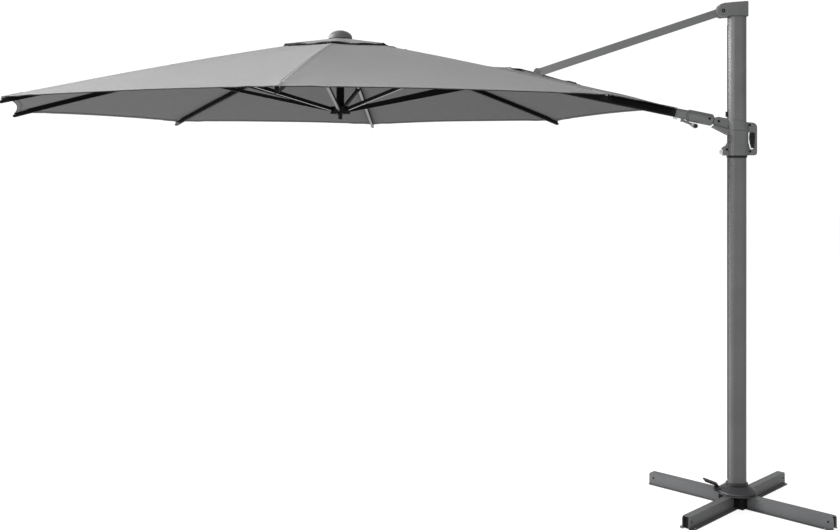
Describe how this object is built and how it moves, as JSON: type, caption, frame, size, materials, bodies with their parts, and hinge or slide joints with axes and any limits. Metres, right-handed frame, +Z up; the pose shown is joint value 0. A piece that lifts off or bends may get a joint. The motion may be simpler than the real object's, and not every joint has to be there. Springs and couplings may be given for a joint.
{
  "type": "cantilever parasol",
  "caption": "Octagonal cantilever parasol hung from a sliding boom and strut on a turning mast, on a cross base for paving slabs.",
  "frame": {"origin": "centre of the underside of the base, on the floor under the mast's axis", "axes": "+Z up along the mast, -X along the boom towards the canopy, +Y to the left of the boom seen from the canopy"},
  "size_m": [4.2203, 3.524, 2.597],
  "materials": {
    "cloth": "woven polyester",
    "base_steel": "powder coat, satin",
    "anthracite_tube": "powder coat, satin",
    "dark_casting": "powder coat, satin",
    "rib_steel": "powder coat, black",
    "black_bar": "powder coat, black",
    "black_plastic": "moulded",
    "grey_plastic": "moulded",
    "finial_plastic": "moulded"
  },
  "bodies": {
    "base": {"base_core": "black_bar", "base_flange": "base_steel", "base_arm_1": "base_steel", "base_arm_2": "base_steel", "base_arm_3": "base_steel", "base_arm_4": "base_steel"},
    "mast": {"mast_foot": "dark_casting", "mast_tube": "anthracite_tube", "mast_head": "anthracite_tube", "stop_bumper": "black_plastic"},
    "pedal": {"foot_pedal": "black_plastic"},
    "carriage": {"carriage_sleeve": "anthracite_tube", "carriage_handle": "anthracite_tube"},
    "trigger": {"grip_trigger": "black_plastic"},
    "latch": {"latch_lever": "grey_plastic"},
    "arm": {"knuckle": "dark_casting", "strut_collar": "dark_casting"},
    "strut_link": {"strut": "anthracite_tube"},
    "boom": {"boom_tube": "black_bar", "tilt_barrel": "anthracite_tube", "boom_collar": "anthracite_tube", "boom_tip": "dark_casting"},
    "lever": {"tilt_lever": "black_plastic"},
    "crown": {"crown_hub": "black_bar", "finial": "finial_plastic"},
    "hub": {"hub_star": "black_plastic", "centre_pole": "black_bar", "hub_knob": "black_plastic"},
    "stay_0": {"boom_stretcher": "black_bar"},
    "rib_set_1": {"rib_1": "rib_steel", "rib_cap_1": "black_plastic"},
    "stay_1": {"stretcher_1": "black_bar"},
    "rib_set_2": {"rib_2": "rib_steel", "rib_cap_2": "black_plastic"},
    "stay_2": {"stretcher_2": "black_bar"},
    "rib_set_3": {"rib_3": "rib_steel", "rib_cap_3": "black_plastic"},
    "stay_3": {"stretcher_3": "black_bar"},
    "rib_set_4": {"rib_4": "rib_steel", "rib_cap_4": "black_plastic"},
    "stay_4": {"stretcher_4": "black_bar"},
    "rib_set_5": {"rib_5": "rib_steel", "rib_cap_5": "black_plastic"},
    "stay_5": {"stretcher_5": "black_bar"},
    "rib_set_6": {"rib_6": "rib_steel", "rib_cap_6": "black_plastic"},
    "stay_6": {"stretcher_6": "black_bar"},
    "rib_set_7": {"rib_7": "rib_steel", "rib_cap_7": "black_plastic"},
    "stay_7": {"stretcher_7": "black_bar"},
    "cloth_1": {"gore_1": "cloth"},
    "cloth_2": {"gore_2": "cloth"},
    "cloth_3": {"gore_3": "cloth"},
    "cloth_4": {"gore_4": "cloth"},
    "cloth_5": {"gore_5": "cloth"},
    "cloth_6": {"gore_6": "cloth"},
    "cloth_7": {"gore_7": "cloth"},
    "cloth_8": {"gore_8": "cloth"}
  },
  "joints": [
    {"name": "mast_turn", "type": "hinge", "parent": "base", "child": "mast", "pos_m": [0, 0, 0], "axis": [0, 0, 1], "continuous": true},
    {"name": "pedal_press", "type": "hinge", "parent": "mast", "child": "pedal", "pos_m": [-0.108, 0, 0.0808], "axis": [0, 1, 0], "range_deg": [-12, 0], "stiffness_Nm_per_rad": 4, "springref_deg": 20.05},
    {"name": "carriage_slide", "type": "slide", "parent": "mast", "child": "carriage", "axis": [0, 0, 1], "range_m": [-1.375, 0], "deforming": ["gore_1", "gore_2", "gore_3", "gore_4", "gore_5", "gore_6", "gore_7", "gore_8"]},
    {"name": "trigger_squeeze", "type": "hinge", "parent": "carriage", "child": "trigger", "pos_m": [0.08, 0, 1.934], "axis": [0, 1, 0], "range_deg": [-1.8, 0], "stiffness_Nm_per_rad": 0.5, "springref_deg": 5.73},
    {"name": "latch_turn", "type": "hinge", "parent": "carriage", "child": "latch", "pos_m": [-0.06, 0, 1.834], "axis": [0, 1, 0], "range_deg": [0, 25]},
    {"name": "arm_lift", "type": "hinge", "parent": "carriage", "child": "arm", "pos_m": [-0.098, 0, 1.98], "axis": [0, 1, 0], "range_deg": [0, 66.02]},
    {"name": "strut_swing", "type": "hinge", "parent": "arm", "child": "strut_link", "pos_m": [-1.0286, 0, 2.2423], "axis": [0, 1, 0], "range_deg": [-129.06, 0]},
    {"name": "tilt_roll", "type": "hinge", "parent": "arm", "child": "boom", "pos_m": [-0.098, 0, 1.98], "axis": [-0.9786, 0, 0.2059], "range_deg": [-20, 20]},
    {"name": "lever_swing", "type": "hinge", "parent": "boom", "child": "lever", "pos_m": [-0.27877, 0, 1.98533], "axis": [0, 1, 0], "range_deg": [0, 40]},
    {"name": "crown_fold", "type": "hinge", "parent": "boom", "child": "crown", "pos_m": [-2.009, 0, 2.366], "axis": [0, 1, 0], "range_deg": [-66.02, 0]},
    {"name": "hub_slide", "type": "slide", "parent": "crown", "child": "hub", "axis": [0, 0, 1], "range_m": [-1.3634, 0]},
    {"name": "stay_fold_0", "type": "hinge", "parent": "boom", "child": "stay_0", "pos_m": [-1.16351, 0, 2.20418], "axis": [0, 1, 0], "range_deg": [-131.44, 0]},
    {"name": "rib_fold_1", "type": "hinge", "parent": "crown", "child": "rib_set_1", "pos_m": [-2.02423, 0.03677, 2.39704], "axis": [-0.7071, 0.7071, 0], "range_deg": [0, 71.42]},
    {"name": "stay_fold_1", "type": "hinge", "parent": "rib_set_1", "child": "stay_1", "pos_m": [-1.42955, 0.63145, 2.22438], "axis": [-0.7071, 0.7071, 0], "range_deg": [-141.58, 0]},
    {"name": "rib_fold_2", "type": "hinge", "parent": "crown", "child": "rib_set_2", "pos_m": [-2.061, 0.052, 2.39704], "axis": [-1, 0, 0], "range_deg": [0, 71.42]},
    {"name": "stay_fold_2", "type": "hinge", "parent": "rib_set_2", "child": "stay_2", "pos_m": [-2.061, 0.893, 2.22438], "axis": [-1, 0, 0], "range_deg": [-141.58, 0]},
    {"name": "rib_fold_3", "type": "hinge", "parent": "crown", "child": "rib_set_3", "pos_m": [-2.09777, 0.03677, 2.39704], "axis": [-0.7071, -0.7071, 0], "range_deg": [0, 71.42]},
    {"name": "stay_fold_3", "type": "hinge", "parent": "rib_set_3", "child": "stay_3", "pos_m": [-2.69245, 0.63145, 2.22438], "axis": [-0.7071, -0.7071, 0], "range_deg": [-141.58, 0]},
    {"name": "rib_fold_4", "type": "hinge", "parent": "crown", "child": "rib_set_4", "pos_m": [-2.113, 0, 2.39704], "axis": [0, -1, 0], "range_deg": [0, 71.42]},
    {"name": "stay_fold_4", "type": "hinge", "parent": "rib_set_4", "child": "stay_4", "pos_m": [-2.954, 0, 2.22438], "axis": [0, -1, 0], "range_deg": [-141.58, 0]},
    {"name": "rib_fold_5", "type": "hinge", "parent": "crown", "child": "rib_set_5", "pos_m": [-2.09777, -0.03677, 2.39704], "axis": [0.7071, -0.7071, 0], "range_deg": [0, 71.42]},
    {"name": "stay_fold_5", "type": "hinge", "parent": "rib_set_5", "child": "stay_5", "pos_m": [-2.69245, -0.63145, 2.22438], "axis": [0.7071, -0.7071, 0], "range_deg": [-141.58, 0]},
    {"name": "rib_fold_6", "type": "hinge", "parent": "crown", "child": "rib_set_6", "pos_m": [-2.061, -0.052, 2.39704], "axis": [1, 0, 0], "range_deg": [0, 71.42]},
    {"name": "stay_fold_6", "type": "hinge", "parent": "rib_set_6", "child": "stay_6", "pos_m": [-2.061, -0.893, 2.22438], "axis": [1, 0, 0], "range_deg": [-141.58, 0]},
    {"name": "rib_fold_7", "type": "hinge", "parent": "crown", "child": "rib_set_7", "pos_m": [-2.02423, -0.03677, 2.39704], "axis": [0.7071, 0.7071, 0], "range_deg": [0, 71.42]},
    {"name": "stay_fold_7", "type": "hinge", "parent": "rib_set_7", "child": "stay_7", "pos_m": [-1.42955, -0.63145, 2.22438], "axis": [0.7071, 0.7071, 0], "range_deg": [-141.58, 0]},
    {"name": "cloth_fold_1", "type": "hinge", "parent": "crown", "child": "cloth_1", "pos_m": [-2.03328, 0.01148, 2.41], "axis": [-0.3827, 0.9239, 0], "range_deg": [0, 71.42]},
    {"name": "cloth_fold_2", "type": "hinge", "parent": "crown", "child": "cloth_2", "pos_m": [-2.04952, 0.02772, 2.41], "axis": [-0.9239, 0.3827, 0], "range_deg": [0, 71.42]},
    {"name": "cloth_fold_3", "type": "hinge", "parent": "crown", "child": "cloth_3", "pos_m": [-2.07248, 0.02772, 2.41], "axis": [-0.9239, -0.3827, 0], "range_deg": [0, 71.42]},
    {"name": "cloth_fold_4", "type": "hinge", "parent": "crown", "child": "cloth_4", "pos_m": [-2.08872, 0.01148, 2.41], "axis": [-0.3827, -0.9239, 0], "range_deg": [0, 71.42]},
    {"name": "cloth_fold_5", "type": "hinge", "parent": "crown", "child": "cloth_5", "pos_m": [-2.08872, -0.01148, 2.41], "axis": [0.3827, -0.9239, 0], "range_deg": [0, 71.42]},
    {"name": "cloth_fold_6", "type": "hinge", "parent": "crown", "child": "cloth_6", "pos_m": [-2.07248, -0.02772, 2.41], "axis": [0.9239, -0.3827, 0], "range_deg": [0, 71.42]},
    {"name": "cloth_fold_7", "type": "hinge", "parent": "crown", "child": "cloth_7", "pos_m": [-2.04952, -0.02772, 2.41], "axis": [0.9239, 0.3827, 0], "range_deg": [0, 71.42]},
    {"name": "cloth_fold_8", "type": "hinge", "parent": "crown", "child": "cloth_8", "pos_m": [-2.03328, -0.01148, 2.41], "axis": [0.3827, 0.9239, 0], "range_deg": [0, 71.42]}
  ],
  "couplings": [
    {"joint": "arm_lift", "follows": "carriage_slide", "rad_per_m": -0.83776},
    {"joint": "strut_swing", "follows": "carriage_slide", "rad_per_m": 1.638},
    {"joint": "crown_fold", "follows": "carriage_slide", "rad_per_m": 0.83776},
    {"joint": "hub_slide", "follows": "carriage_slide", "ratio": 0.99147},
    {"joint": "stay_fold_0", "follows": "carriage_slide", "rad_per_m": 1.6681},
    {"joint": "rib_fold_1", "follows": "carriage_slide", "rad_per_m": -0.90633},
    {"joint": "stay_fold_1", "follows": "carriage_slide", "rad_per_m": 1.7969},
    {"joint": "rib_fold_2", "follows": "carriage_slide", "rad_per_m": -0.90633},
    {"joint": "stay_fold_2", "follows": "carriage_slide", "rad_per_m": 1.7969},
    {"joint": "rib_fold_3", "follows": "carriage_slide", "rad_per_m": -0.90633},
    {"joint": "stay_fold_3", "follows": "carriage_slide", "rad_per_m": 1.7969},
    {"joint": "rib_fold_4", "follows": "carriage_slide", "rad_per_m": -0.90633},
    {"joint": "stay_fold_4", "follows": "carriage_slide", "rad_per_m": 1.7969},
    {"joint": "rib_fold_5", "follows": "carriage_slide", "rad_per_m": -0.90633},
    {"joint": "stay_fold_5", "follows": "carriage_slide", "rad_per_m": 1.7969},
    {"joint": "rib_fold_6", "follows": "carriage_slide", "rad_per_m": -0.90633},
    {"joint": "stay_fold_6", "follows": "carriage_slide", "rad_per_m": 1.7969},
    {"joint": "rib_fold_7", "follows": "carriage_slide", "rad_per_m": -0.90633},
    {"joint": "stay_fold_7", "follows": "carriage_slide", "rad_per_m": 1.7969},
    {"joint": "cloth_fold_1", "follows": "carriage_slide", "rad_per_m": -0.90633},
    {"joint": "cloth_fold_2", "follows": "carriage_slide", "rad_per_m": -0.90633},
    {"joint": "cloth_fold_3", "follows": "carriage_slide", "rad_per_m": -0.90633},
    {"joint": "cloth_fold_4", "follows": "carriage_slide", "rad_per_m": -0.90633},
    {"joint": "cloth_fold_5", "follows": "carriage_slide", "rad_per_m": -0.90633},
    {"joint": "cloth_fold_6", "follows": "carriage_slide", "rad_per_m": -0.90633},
    {"joint": "cloth_fold_7", "follows": "carriage_slide", "rad_per_m": -0.90633},
    {"joint": "cloth_fold_8", "follows": "carriage_slide", "rad_per_m": -0.90633}
  ]
}
